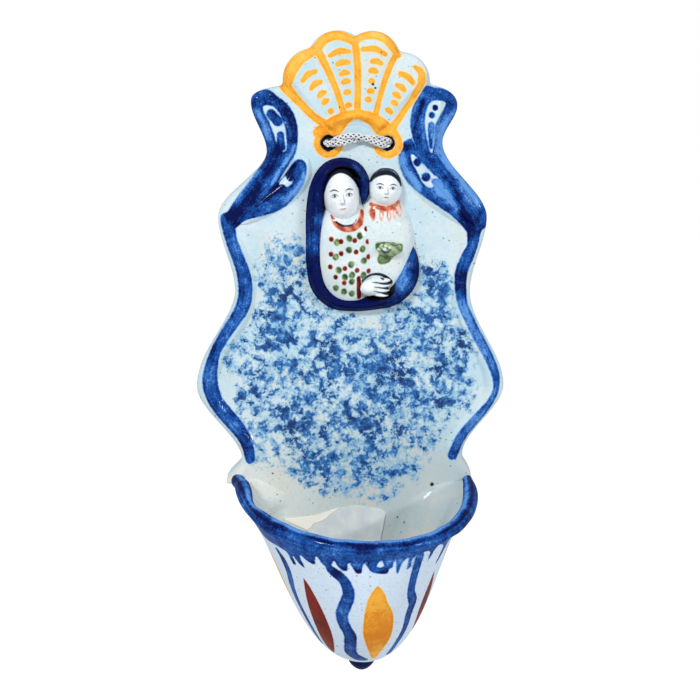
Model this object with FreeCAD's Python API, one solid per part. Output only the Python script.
"""Wall holy water stoup in tin-glazed earthenware.

A press-moulded back plate with a hollow back carries everything that is luted on while the clay is
leather-hard: a scallop crest, leaf scrolls, border rolls, a mother and child in relief, and a half-round
basin with a rolled rim and a drop finial. A braided cord is threaded through two pierced holes and knotted
in the hollow behind them, so that the plate hangs flat on the wall.

Frame: millimetres, +Z up, the wall is the plane y = 0 and the front faces -Y. The origin is where the nail
meets the wall, which is where the cord's loop bears.
"""

import FreeCAD
import Part

import math
import os

from FreeCAD import Vector

# Sizes in millimetres. "Across" is measured from the middle, positive to the viewer's right, "height" is
# measured up from a base line just above the finial's tip, and "proud" is measured out from the wall.
NAIL_HEIGHT = 204.0
NAIL_RADIUS = 2.5

PLATE_DEPTH = 12.0  # wall to the plate's front face
PLATE_WALL = 5.0  # clay left in front of the hollow back
WALL_RING = 6.5  # width of the ring round the hollow that touches the wall
FRONT_ROUNDING = 2.2
HOLLOW_ROUNDING = 2.5

# Turns of the plate's two sides, which are trimmed by hand and differ a little. Each is (distance from the
# middle, height) where the outline runs upright: volute, neck, shoulder, waist, lobe, lower neck and ear.
RIGHT_TURNS = (
    (34.8, 196.5),
    (30.0, 184.5),
    (45.8, 159.0),
    (40.6, 134.0),
    (53.3, 100.5),
    (39.4, 75.5),
    (42.6, 68.5),
)
LEFT_TURNS = (
    (34.3, 197.5),
    (29.0, 181.0),
    (45.5, 159.0),
    (40.0, 134.0),
    (53.5, 100.5),
    (38.0, 73.5),
    (43.6, 65.3),
)
SHOULDER_TURN = 2  # the first of the turns that the border rolls follow

# Scallop crest: four lobes that fan out from a focus. The radii are at the fan's middle notch, an inner
# lobe's top, the next notch, an outer lobe's top and the fan's end.
FAN_FOCUS = (0.5, 180.0)
LOBE_ANGLE = 23.3
RIGHT_RADII = (38.8, 41.1, 36.9, 38.2, 34.2)
LEFT_RADII = (38.8, 41.3, 38.0, 38.0, 33.0)
FLUTE_RISE = 2.0
FLUTE_SHARE = 0.965  # a flute's share of its lobe, which leaves a fine groove between flutes
FAN_ROLL_RADIUS = 13.0
FAN_ROLL_HALF_WIDTH = 1.7
FAN_ROLL_START = 44.0  # degrees above level where the roll under the fan begins and ends

# Pierced holes and the hanging cord
HOLE_RADIUS = 2.8
HOLE_HALF_SPACING = 9.85
HOLE_SHIFT = 1.5  # the pair is pierced this far right of the middle
HOLE_HEIGHT = 184.0
CORD_RADIUS = 1.4
CORD_REAR_PROUD = 3.4  # cord's centreline in the hollow
CORD_FRONT_CLEARANCE = 0.5  # between the plate and the cord's span across the front
CORD_ARCH = 2.6  # rise of that span between the holes
CORD_HOLE_BEND = 3.0  # centreline radius where the cord turns round the edge of a hole
CORD_ARCH_BEND = 17.0  # centreline radius at the top of the front span
CORD_NAIL_CLEARANCE = 0.05
KNOT_LENGTH = 9.0
KNOT_RING_RADIUS = 1.85
KNOT_RINGS = 3
KNOT_TAIL = 8.5
KNOT_TAIL_ANGLE = 48.0  # between each tail and the cord, on the side away from the nail

# Relief seated on the plate's front face
BORDER_INSET = 4.7
BORDER_HALF_WIDTH = 2.4
BORDER_RISE = 1.3
LEAF_RISE = 2.6
LEAF_GROOVE = 0.45  # share of the leaf's rise lost along its middle

# Basin: half widths, reaches out from the plate and heights of the poles of its side curve
BASIN_HALF_WIDTHS = (41.6, 31.0, 25.8, 16.2, 0.0)
BASIN_REACHES = (53.0, 51.5, 46.0, 28.0, 0.0)
BASIN_HEIGHTS = (66.9, 58.4, 18.0, 3.5, 3.5)
BASIN_FULLNESS = 2.15  # exponent of the plan at the rim, where 2 is an oval
BASIN_WALL = 4.6
BASIN_FLOOR = 6.5
BASIN_EXTENSION = 5.0  # how far the raw basin runs above its first pole before its rim is cut
LEVEL_BELOW = 0.62  # the basin's sections slant like its rim at the top and are level from here down
LEAN_TOP = 1.0  # the basin leans: its middle is this far right at the rim
LEAN_FOOT = 3.3  # and this far right at its foot
RIM_BACK_HEIGHT = BASIN_HEIGHTS[0]  # cut edge of the basin's wall where it meets the plate
RIM_SLANT = 8.4  # degrees by which the cut edge falls towards the front
RIM_TILT = 1.3  # degrees by which it falls to the right
RIM_HALF_WIDTH = 39.6
RIM_REACH = 51.2
RIM_SHIFT = 1.6  # the roll's ends are centred this far right
RIM_SKEW = 1.7  # and its front this much further
RIM_ROLL_RADIUS = 2.6
RIM_ROLL_LIFT = 1.1  # the roll's centre above the cut edge
FINIAL_TIP = -1.6
FINIAL_RADIUS = 4.8
FINIAL_OUT = 6.0  # finial's axis, out from the plate's front face
FINIAL_HEIGHT = 9.0

LABEL_THICKNESS = 0.25

PARTS = "parts"


def at(across, height, proud=0.0):
    """The point at a place across, above the base line and out from the wall."""
    return Vector(across, -proud, height - NAIL_HEIGHT)


def slab(proud_from, proud_to):
    """A block far larger than the stoup, between two distances from the wall."""
    reach = 400.0
    return Part.makeBox(2 * reach, proud_to - proud_from, 2 * reach, Vector(-reach, -proud_to, -reach))


def behind_front_face():
    """Everything behind the plate's front face, for cutting flat seats."""
    return slab(PLATE_DEPTH - 60.0, PLATE_DEPTH)


def bezier(poles, proud):
    """An edge through (across, height) poles at one distance from the wall."""
    curve = Part.BezierCurve()
    curve.setPoles([at(across, height, proud) for across, height in poles])
    return curve.toShape()


def s_curve(start, end, inset=0.0):
    """Poles of a cubic that leaves one turn of the outline upright and arrives at the next upright."""
    third = (end[1] - start[1]) / 3
    return [
        (start[0] - inset, start[1]),
        (start[0] - inset, start[1] + third),
        (end[0] - inset, end[1] - third),
        (end[0] - inset, end[1]),
    ]


def largest(shape):
    """The biggest solid of a cut piece, without the slivers that a cut can leave."""
    return max(shape.Solids, key=lambda solid: solid.Volume)


def on_side(poles, side):
    """Poles given as distances from the middle, on the right (1) or the left (-1)."""
    return [(side * distance, height) for distance, height in poles]


def fan_point(step, side):
    """A point of the fan's outline, counted in half lobes out from its middle notch."""
    angle = math.radians(step * LOBE_ANGLE / 2)
    radius = (RIGHT_RADII if side > 0 else LEFT_RADII)[step]
    return (FAN_FOCUS[0] + side * radius * math.sin(angle), FAN_FOCUS[1] + radius * math.cos(angle))


def lobe_arc(first, side):
    """The arc over one lobe of the fan, from notch to notch."""
    ends = [at(*fan_point(first + k, side)) for k in range(3)]
    return Part.Arc(*ends).toShape()


def lean_at(height):
    """How far right of the middle the basin is centred at a height."""
    drop = (BASIN_HEIGHTS[0] - height) / (BASIN_HEIGHTS[0] - BASIN_HEIGHTS[-1])
    return LEAN_TOP + (LEAN_FOOT - LEAN_TOP) * drop


def closed_face(edges):
    """The face inside a loop of edges given in any order."""
    return Part.Face(Part.Wire(Part.__sortEdges__(edges)))


def extrude_out(face, length):
    """A prism of a face, out from the wall."""
    return face.extrude(Vector(0, -length, 0))


def edges_at(shape, proud):
    """The edges of a shape that lie at one distance from the wall."""
    plane = [e for e in shape.Edges if e.BoundBox.YLength < 1e-5]
    return [e for e in plane if abs(e.BoundBox.YMin + proud) < 1e-5]


def basin_poles(inset=0.0, floor=0.0):
    """Poles of the basin's side as (half width, reach, height), drawn in by a wall and up by a floor."""
    raised = (0.0, 0.0, 0.4 * floor, floor, floor)
    widths = [max(width - inset, 0.0) for width in BASIN_HALF_WIDTHS]
    reaches = [max(reach - inset, 0.0) for reach in BASIN_REACHES]
    heights = [height + lift for height, lift in zip(BASIN_HEIGHTS, raised)]
    return list(zip(widths, reaches, heights))


def upper_edges(turns, side):
    """One side of the upper plate's outline, from the middle notch of the fan down to the ear."""
    top = fan_point(4, side)
    volute = (side * turns[0][0], turns[0][1])
    head = [top, (top[0] + side * 6.4, top[1] - 1.2), (volute[0], volute[1] + 3.4), volute]
    edges = [lobe_arc(0, side), lobe_arc(2, side), bezier(head, 0.0)]
    edges += [bezier(on_side(s_curve(a, b), side), 0.0) for a, b in zip(turns, turns[1:])]
    return edges


def ear_seam():
    """The line from ear to ear, where the upper plate ends and the tail begins."""
    return Part.makeLine(at(*RIGHT_TURNS[-1]), at(-LEFT_TURNS[-1][0], LEFT_TURNS[-1][1]))


def upper_plate():
    """The plate above the basin's ears, with its front edge rounded over."""
    edges = upper_edges(RIGHT_TURNS, 1) + upper_edges(LEFT_TURNS, -1) + [ear_seam()]
    plate = extrude_out(closed_face(edges), PLATE_DEPTH)
    seam_length = ear_seam().Length
    rim = [e for e in edges_at(plate, PLATE_DEPTH) if e.Length < 0.9 * seam_length]
    return plate.makeFillet(FRONT_ROUNDING, rim)


def tail_poles(side):
    """Poles of one side of the tail, which is trimmed flush with the basin's back."""
    return [(side * half_width + lean_at(height), height) for half_width, _, height in basin_poles()]


def tail():
    """The plate behind the basin, which tapers to the finial."""
    right, left = tail_poles(1), tail_poles(-1)
    ear = at(*RIGHT_TURNS[-1])
    edges = [bezier(right, 0.0), bezier(left, 0.0)]
    edges.append(Part.makeLine(at(*right[0]), ear))
    edges.append(Part.makeLine(ear, at(*left[0])))
    return extrude_out(closed_face(edges), PLATE_DEPTH)


def hollow_edges(turns, side):
    """One side of the hollow's outline."""
    crown = FAN_FOCUS[1] + RIGHT_RADII[0] - WALL_RING
    neck = turns[1]
    neck_width = neck[0] - WALL_RING
    top = [(0.0, crown), (0.55 * neck_width, crown), (neck_width, crown - 12.0), (neck_width, neck[1])]
    low = turns[-2]
    foot_height = BASIN_HEIGHTS[-1] + BASIN_FLOOR
    foot = [(low[0] - WALL_RING, low[1]), (low[0] - WALL_RING, low[1] - 14.0)]
    foot += [(0.5 * low[0], 34.0), (0.3 * low[0], foot_height), (0.0, foot_height)]
    edges = [bezier(on_side(top, side), 0.0)]
    edges += [bezier(on_side(s_curve(a, b, WALL_RING), side), 0.0) for a, b in zip(turns[1:-1], turns[2:-1])]
    edges.append(bezier(on_side(foot, side), 0.0))
    return edges


def hollow():
    """The hollow in the plate's back, which keeps the clay even and houses the cord."""
    depth = PLATE_DEPTH - PLATE_WALL
    raw = extrude_out(closed_face(hollow_edges(RIGHT_TURNS, 1) + hollow_edges(LEFT_TURNS, -1)), depth)
    return raw.makeFillet(HOLLOW_ROUNDING, edges_at(raw, depth))


def hole_places():
    """How far across the two pierced holes lie."""
    return (HOLE_SHIFT - HOLE_HALF_SPACING, HOLE_SHIFT + HOLE_HALF_SPACING)


def hole_pins(radius):
    """Cylinders on the two holes' axes, through the whole plate."""
    length = PLATE_DEPTH + 10.0
    mouths = [at(across, HOLE_HEIGHT) for across in hole_places()]
    return [Part.makeCylinder(radius, length, mouth, Vector(0, -1, 0)) for mouth in mouths]


def back_plate():
    """The moulded plate: outline, hollow back and pierced holes."""
    body = upper_plate().fuse(tail()).removeSplitter()
    return body.cut(hollow()).cut(hole_pins(HOLE_RADIUS))


def flute(step):
    """One fluted lobe of the crest: half of a flattened teardrop that points at the fan's focus."""
    half_angle = math.radians(LOBE_ANGLE / 2) * FLUTE_SHARE
    radii = RIGHT_RADII if step > 0 else LEFT_RADII
    reach = radii[abs(step)] - 0.8 * FRONT_ROUNDING
    round_radius = reach * math.sin(half_angle) / (1 + math.sin(half_angle))
    centre = reach - round_radius
    tangent = centre * math.cos(half_angle)
    touch = Vector(tangent * math.cos(half_angle), tangent * math.sin(half_angle), 0)
    turn = math.pi / 4 - half_angle / 2
    over = Vector(centre + round_radius * math.cos(turn), round_radius * math.sin(turn), 0)
    tip = Vector(reach, 0, 0)
    cap = Part.Arc(touch, over, tip).toShape()
    outline = Part.Wire([Part.makeLine(Vector(), touch), cap, Part.makeLine(tip, Vector())])
    teardrop = Part.Face(outline).revolve(Vector(), Vector(1, 0, 0), 360)
    flatten = FreeCAD.Matrix()
    flatten.scale(1, 1, FLUTE_RISE / round_radius)
    flat = teardrop.transformGeometry(flatten)
    # The teardrop's length lies along X and its rise along Z: stand it up in the plate's front face.
    flat.rotate(Vector(), Vector(1, 0, 0), 90)
    flat.rotate(Vector(), Vector(0, 1, 0), -90 + step * LOBE_ANGLE / 2)
    flat.translate(at(*FAN_FOCUS, PLATE_DEPTH))
    core = Part.makeCylinder(FAN_ROLL_RADIUS, 60.0, at(*FAN_FOCUS, -10.0), Vector(0, -1, 0))
    return flat.cut(core).cut(behind_front_face())


def shell_crest():
    """The scallop: four flutes that meet in valleys, over a roll."""
    centre = at(*FAN_FOCUS, PLATE_DEPTH)
    ring = Part.makeCircle(FAN_ROLL_HALF_WIDTH, centre + Vector(FAN_ROLL_RADIUS, 0, 0), Vector(0, 0, 1))
    section = Part.Face(Part.Wire(ring))
    section.rotate(centre, Vector(0, 1, 0), -FAN_ROLL_START)
    roll = section.revolve(centre, Vector(0, 1, 0), -(180 - 2 * FAN_ROLL_START))
    crest = roll.cut(behind_front_face())
    for step in (-3, -1, 1, 3):
        crest = crest.fuse(flute(step))
    return crest.cut(hole_pins(HOLE_RADIUS + 0.5))


def ridge_section(centre, along, half_width, rise, groove):
    """A closed flat-bottomed section across a ridge, with an optional groove along its crest."""
    across = Vector(-along.z, 0, along.x)
    steps = 12
    points = []
    for k in range(steps + 1):
        angle = math.pi * k / steps
        dome = math.sin(angle)
        dip = 1 - groove * math.exp(-((math.cos(angle) / 0.42) ** 2))
        points.append(centre + across * (half_width * math.cos(angle)) + Vector(0, -rise * dome * dip, 0))
    crest = Part.BSplineCurve()
    crest.interpolate(points)
    return Part.Wire([crest.toShape(), Part.makeLine(points[-1], points[0])])


def ridge(stations, rise, groove=0.0):
    """A roll of clay seated on the plate's front face, through (across, height, half width) stations."""
    centres = [at(across, height, PLATE_DEPTH) for across, height, _ in stations]
    widest = max(half_width for _, _, half_width in stations)
    sections = []
    for k, (_, _, half_width) in enumerate(stations):
        along = centres[min(k + 1, len(centres) - 1)] - centres[max(k - 1, 0)]
        along.normalize()
        lift = rise * math.sqrt(half_width / widest)
        sections.append(ridge_section(centres[k], along, half_width, lift, groove))
    return Part.makeLoft(sections, True, False)


def border_roll(turns, side):
    """The roll that follows one side of the plate from the shoulder to the lower neck."""
    stations = []
    followed = turns[SHOULDER_TURN:-1]
    for start, end in zip(followed, followed[1:]):
        curve = Part.BezierCurve()
        curve.setPoles([at(a, h) for a, h in s_curve(start, end, BORDER_INSET)])
        steps = 6
        for k in range(steps):
            point = curve.value(k / steps)
            stations.append((side * point.x, point.z + NAIL_HEIGHT, BORDER_HALF_WIDTH))
    last = (followed[-1][0] - BORDER_INSET, followed[-1][1])
    stations.append((side * last[0], last[1] + 1.0, 0.75 * BORDER_HALF_WIDTH))
    stations.append((side * (last[0] - 0.1), last[1] - 0.8, 0.25 * BORDER_HALF_WIDTH))
    return ridge(stations[1:], BORDER_RISE)


# Leaf scrolls as (across, height, half width), from the curled head down to the shoulder
RIGHT_UPPER_LEAF = (
    (27.0, 201.4, 0.9),
    (26.8, 198.8, 3.4),
    (25.4, 193.2, 4.2),
    (24.2, 187.4, 4.0),
    (24.4, 181.4, 3.8),
    (27.8, 175.4, 4.2),
    (33.0, 169.0, 4.2),
    (38.0, 163.0, 3.4),
    (41.3, 158.4, 2.2),
    (42.0, 155.8, 0.8),
)
RIGHT_LOWER_LEAF = (
    (16.4, 184.8, 0.8),
    (17.0, 182.8, 2.6),
    (18.6, 177.6, 3.4),
    (22.4, 172.0, 3.8),
    (27.6, 166.8, 3.6),
    (33.2, 161.8, 2.8),
    (37.2, 157.8, 1.6),
    (38.6, 156.0, 0.7),
)
LEFT_UPPER_LEAF = (
    (-28.2, 201.2, 0.9),
    (-28.2, 198.6, 3.2),
    (-26.4, 193.4, 4.0),
    (-24.2, 187.4, 3.9),
    (-23.4, 181.4, 3.5),
    (-25.4, 175.8, 3.7),
    (-30.4, 169.6, 4.0),
    (-36.0, 163.4, 3.5),
    (-40.4, 158.6, 2.3),
    (-41.6, 156.0, 0.8),
)
LEFT_LOWER_LEAF = (
    (-15.6, 179.4, 0.8),
    (-16.4, 177.4, 2.6),
    (-18.4, 172.6, 3.6),
    (-22.6, 167.9, 3.9),
    (-28.6, 163.6, 3.5),
    (-34.2, 159.8, 2.5),
    (-38.2, 156.8, 0.9),
)


def leaf_pair(upper_stations, lower_stations):
    """Two leaf scrolls: the upper one lies over the lower one's edge."""
    upper = ridge(upper_stations, LEAF_RISE, LEAF_GROOVE)
    lower = ridge(lower_stations, 0.85 * LEAF_RISE, LEAF_GROOVE)
    return upper, lower.cut(upper)


# Mother and child in relief. The mantle is a folded edge that runs from the veil's right side over the head,
# down the left, under the figures and up to a point on the right.
MANTLE = (
    (3.0, 163.4, 0.8),
    (3.7, 166.8, 1.9),
    (3.3, 171.6, 2.1),
    (0.6, 175.6, 2.2),
    (-4.0, 177.0, 2.2),
    (-8.6, 175.0, 2.5),
    (-11.6, 169.6, 2.8),
    (-12.6, 161.6, 3.1),
    (-12.7, 152.6, 3.1),
    (-12.4, 143.6, 3.2),
    (-10.8, 136.0, 3.3),
    (-6.2, 131.2, 3.1),
    (0.4, 129.8, 2.7),
    (7.2, 130.3, 2.7),
    (13.4, 133.0, 3.4),
    (17.4, 138.2, 4.0),
    (19.6, 144.6, 2.7),
    (20.5, 150.4, 0.5),
)
MANTLE_RISE = 6.0
# Domes as (across, height, half width, half height, rise, lean to the left in degrees)
GOWN = (-2.6, 146.4, 11.4, 18.5, 6.6, 0.0)
MOTHER_HEAD = (-4.1, 166.9, 6.0, 9.4, 8.4, 5.0)
CHILD_TUNIC = (10.8, 149.6, 9.8, 17.0, 5.6, 4.0)
CHILD_HEAD = (10.7, 169.4, 5.3, 6.4, 7.2, -3.0)
HAND = (5.6, 136.0, 4.2, 3.4, 7.4, 0.0)
FINGER_HALF = (3.4, 0.8)
FINGERS = 4
SPRIG = (11.8, 149.2, 5.4, 3.3, 8.4, 4.0)


def dome(across, height, half_width, half_height, rise, lean=0.0):
    """Half an egg seated on the plate's front face."""
    matrix = FreeCAD.Matrix()
    matrix.scale(half_width, rise, half_height)
    egg = Part.makeSphere(1.0).transformGeometry(matrix)
    egg.rotate(Vector(), Vector(0, 1, 0), -lean)
    egg.translate(at(across, height, PLATE_DEPTH))
    return egg.cut(behind_front_face())


def mother_hand():
    """The palm with its fingers held out over the child's robe."""
    across, height, half_width, _, rise, _ = HAND
    length, thickness = FINGER_HALF
    shape = dome(*HAND)
    for k in range(FINGERS):
        drop = (k - (FINGERS - 1) / 2) * 2 * thickness
        shape = shape.fuse(dome(across + half_width, height + drop, length, 1.25 * thickness, 0.95 * rise))
    return shape


def figures():
    """The relief's pieces, each cut back to what lies over it."""
    mantle = ridge(MANTLE, MANTLE_RISE)
    mother_head = dome(*MOTHER_HEAD).cut(mantle)
    gown = dome(*GOWN).cut(mantle).cut(mother_head)
    child_head = dome(*CHILD_HEAD).cut(mantle)
    hand = mother_hand().cut(mantle).cut(gown)
    under_tunic = [mantle, gown, hand, child_head, mother_head]
    tunic = largest(dome(*CHILD_TUNIC).cut(under_tunic))
    sprig = dome(*SPRIG).cut(under_tunic + [tunic])
    return {
        "mother_mantle": mantle,
        "mother_head": mother_head,
        "mother_gown": gown,
        "mother_hand": hand,
        "child_head": child_head,
        "child_tunic": tunic,
        "child_sprig": sprig,
    }


def side_value(poles, t):
    """A Bezier's value at t, for a list of single numbers."""
    values = list(poles)
    while len(values) > 1:
        values = [a + (b - a) * t for a, b in zip(values, values[1:])]
    return values[0]


def basin_section(t, inset, floor, extension=0.0):
    """A half-oval section of the basin, closed along the plate's front face."""
    half_width, reach, height = [side_value(poles, t) for poles in zip(*basin_poles(inset, floor))]
    power = 2 / (BASIN_FULLNESS + (2.0 - BASIN_FULLNESS) * t)
    fall = math.tan(math.radians(RIM_SLANT)) * max(0.0, 1 - t / LEVEL_BELOW)
    steps = 16
    points = []
    for k in range(steps + 1):
        angle = math.pi * k / steps
        across = half_width * math.copysign(abs(math.cos(angle)) ** power, math.cos(angle))
        out = reach * abs(math.sin(angle)) ** power if 0 < k < steps else 0.0
        points.append(at(across + lean_at(height), height + extension - fall * out, PLATE_DEPTH + out))
    curve = Part.BSplineCurve()
    curve.interpolate(points)
    return Part.Wire([curve.toShape(), Part.makeLine(points[-1], points[0])])


BASIN_STATIONS = (0.0, 0.08, 0.18, 0.3, 0.43, 0.55, 0.66, 0.76, 0.85, 0.93)


def basin_solid(inset, floor):
    """The basin's outside, or its inside when drawn in, run on upwards for its rim to be cut."""
    sections = [basin_section(0.0, inset, floor, BASIN_EXTENSION)]
    sections += [basin_section(t, inset, floor) for t in BASIN_STATIONS]
    return Part.makeLoft(sections, True, False)


def to_rim(shape):
    """Lays a shape that was made level with the origin on the slanted plane of the basin's cut edge."""
    shape.rotate(Vector(), Vector(1, 0, 0), RIM_SLANT)
    shape.rotate(Vector(), Vector(0, 1, 0), RIM_TILT)
    shape.translate(at(0.0, RIM_BACK_HEIGHT, PLATE_DEPTH))
    return shape


def basin():
    """The half-round basin, open where the plate closes it."""
    above = to_rim(Part.makeBox(400, 400, 200, Vector(-200, -200, 0)))
    return basin_solid(0.0, 0.0).cut(basin_solid(BASIN_WALL, BASIN_FLOOR)).cut(above)


def rim_roll():
    """The coil of clay luted on the basin's cut edge."""
    reach = RIM_REACH / math.cos(math.radians(RIM_SLANT))
    power = 2 / BASIN_FULLNESS
    steps = 24
    points = []
    for k in range(steps + 1):
        angle = math.pi * k / steps
        across = RIM_HALF_WIDTH * math.copysign(abs(math.cos(angle)) ** power, math.cos(angle))
        out = reach * abs(math.sin(angle)) ** power if 0 < k < steps else -2.5
        shift = RIM_SHIFT + RIM_SKEW * math.sin(angle)
        points.append(Vector(across + shift, -out, RIM_ROLL_LIFT))
    path = Part.BSplineCurve()
    path.interpolate(points)
    section = Part.Wire(Part.makeCircle(RIM_ROLL_RADIUS, points[0], path.tangent(path.FirstParameter)[0]))
    pipe = Part.Wire(path.toShape()).makePipeShell([section], True, False)
    flat_bottomed = pipe.cut(Part.makeBox(400, 400, 200, Vector(-200, -200, -200)))
    return to_rim(flat_bottomed).cut(behind_front_face())


def drop_finial(basin_outside):
    """The turned drop under the basin's foot."""
    shape = ((0.0, 0.0), (0.32, 0.04), (0.68, 0.18), (0.95, 0.38), (1.0, 0.6), (0.9, 1.0))
    profile = [Vector(out * FINIAL_RADIUS, 0, up * FINIAL_HEIGHT) for out, up in shape]
    side = Part.BSplineCurve()
    side.interpolate(profile)
    top = Vector(0, 0, FINIAL_HEIGHT)
    outline = Part.Wire([side.toShape(), Part.makeLine(profile[-1], top), Part.makeLine(top, profile[0])])
    turned = Part.Face(outline).revolve(Vector(), Vector(0, 0, 1), 360)
    turned.translate(at(LEAN_FOOT, FINIAL_TIP, PLATE_DEPTH + FINIAL_OUT))
    return turned.cut(basin_outside).cut(tail())


def over_nail(hole_across, bearing):
    """How far across the cord's corner lies above the nail, for a leg that leaves the nail for one hole."""
    drop = NAIL_HEIGHT - HOLE_HEIGHT
    spread = math.atan2(abs(hole_across), drop) - math.asin(bearing / math.hypot(hole_across, drop))
    return math.copysign(bearing * math.tan((math.pi / 2 - spread) / 2), hole_across)


def cord_corners():
    """The cord's corners from the knot over the nail, through the left hole, across the front and back."""
    left, right = hole_places()
    bearing = NAIL_RADIUS + CORD_RADIUS + CORD_NAIL_CLEARANCE
    front = PLATE_DEPTH + CORD_FRONT_CLEARANCE + CORD_RADIUS
    over = NAIL_HEIGHT + bearing
    nail_right = at(over_nail(right, bearing), over, CORD_REAR_PROUD)
    hole_right = at(right, HOLE_HEIGHT, CORD_REAR_PROUD)
    leg = hole_right - nail_right
    middle = nail_right + leg * 0.5
    half_knot = leg.normalize() * (KNOT_LENGTH / 2)
    corners = [
        (middle - half_knot, 0.0),
        (nail_right, bearing),
        (at(over_nail(left, bearing), over, CORD_REAR_PROUD), bearing),
        (at(left, HOLE_HEIGHT, CORD_REAR_PROUD), CORD_HOLE_BEND),
        (at(left, HOLE_HEIGHT, front), CORD_HOLE_BEND),
        (at(HOLE_SHIFT, HOLE_HEIGHT + CORD_ARCH, front), CORD_ARCH_BEND),
        (at(right, HOLE_HEIGHT, front), CORD_HOLE_BEND),
        (hole_right, CORD_HOLE_BEND),
        (middle + half_knot, 0.0),
    ]
    return corners


def tube(corners, radius):
    """A round cord along straight runs joined by tangent arcs, each corner (point, bend radius)."""
    edges = []
    start = corners[0][0]
    for k in range(1, len(corners) - 1):
        corner, bend = corners[k]
        before = (corners[k - 1][0] - corner).normalize()
        after = (corners[k + 1][0] - corner).normalize()
        half_turn = (math.pi - before.getAngle(after)) / 2
        cut_back = bend * math.tan(half_turn)
        bisector = (before + after).normalize()
        centre = corner + bisector * (bend / math.cos(half_turn))
        first = corner + before * cut_back
        last = corner + after * cut_back
        if (first - start).Length > 1e-4:
            edges.append(Part.makeLine(start, first))
        edges.append(Part.Arc(first, centre - bisector * bend, last).toShape())
        start = last
        print("cord corner %d: turn %.0f degrees, radius %.1f mm" % (k, math.degrees(2 * half_turn), bend))
    edges.append(Part.makeLine(start, corners[-1][0]))
    path = Part.Wire(edges)
    heading = corners[1][0] - corners[0][0]
    section = Part.Wire(Part.makeCircle(radius, corners[0][0], heading))
    solid = path.makePipeShell([section], True, False)
    exact = math.pi * radius**2 * path.Length
    print("cord: length %.1f mm, volume %.1f of %.1f mm3" % (path.Length, solid.Volume, exact))
    return solid


def cord_knot(corners):
    """The tight knot that joins the cord's ends in the hollow, with two short tails clear of the nail."""
    upper, lower = corners[0][0], corners[-1][0]
    axis = (lower - upper).normalize()
    middle = (upper + lower) * 0.5
    body = Part.makeCylinder(CORD_RADIUS, KNOT_LENGTH, upper, axis)
    pitch = 2 * CORD_RADIUS * 0.86
    for k in range(KNOT_RINGS):
        centre = middle + axis * (pitch * (k - (KNOT_RINGS - 1) / 2))
        body = body.fuse(Part.makeTorus(KNOT_RING_RADIUS, CORD_RADIUS, centre, axis))
    outward = Vector(-axis.z, 0, axis.x)
    turn = math.radians(KNOT_TAIL_ANGLE)
    for way in (1, -1):
        heading = axis * (way * math.cos(turn)) + outward * math.sin(turn)
        body = body.fuse(Part.makeCylinder(CORD_RADIUS, KNOT_TAIL, middle + outward * CORD_RADIUS, heading))
    return body


# The label's outline as (across, height): its upper left corner is torn away to a ragged point.
LABEL_OUTLINE = (
    (-23.5, 52.6),
    (-12.5, 53.9),
    (-4.1, 56.9),
    (2.6, 57.7),
    (11.1, 56.1),
    (12.6, 54.6),
    (10.9, 45.6),
    (10.0, 39.5),
    (8.5, 38.2),
    (-11.0, 38.0),
    (-12.5, 45.5),
    (-15.7, 48.7),
)


def paper_label():
    """The bare paper label stuck to the plate inside the basin."""
    points = [at(across, height, PLATE_DEPTH) for across, height in LABEL_OUTLINE]
    return extrude_out(Part.Face(Part.makePolygon(points + points[:1])), LABEL_THICKNESS)


def build():
    """Every piece by its node's name."""
    corners = cord_corners()
    pieces = {
        "back_plate": back_plate(),
        "shell_crest": shell_crest(),
        "basin": basin(),
        "basin_rim_roll": rim_roll(),
        "drop_finial": drop_finial(basin_solid(0.0, 0.0)),
        "hanging_cord": tube(corners, CORD_RADIUS),
        "cord_knot": cord_knot(corners),
        "paper_label": paper_label(),
    }
    sides = {
        "right": (RIGHT_TURNS, 1, RIGHT_UPPER_LEAF, RIGHT_LOWER_LEAF),
        "left": (LEFT_TURNS, -1, LEFT_UPPER_LEAF, LEFT_LOWER_LEAF),
    }
    for name, (turns, side, upper_stations, lower_stations) in sides.items():
        upper, lower = leaf_pair(upper_stations, lower_stations)
        pieces[name + "_upper_leaf"] = upper
        pieces[name + "_lower_leaf"] = lower
        pieces[name + "_border_roll"] = border_roll(turns, side).cut([upper, lower])
    pieces.update(figures())
    return pieces


def main():
    """Writes one STEP file for each piece."""
    os.makedirs(PARTS, exist_ok=True)
    for name, shape in build().items():
        solids = shape.Solids
        kept = solids[0] if len(solids) == 1 else Part.makeCompound(solids)
        print("%s: %d solids, %.1f cm3, valid %s" % (name, len(solids), kept.Volume / 1000, kept.isValid()))
        kept.exportStep(os.path.join(PARTS, name + ".step"))


main()
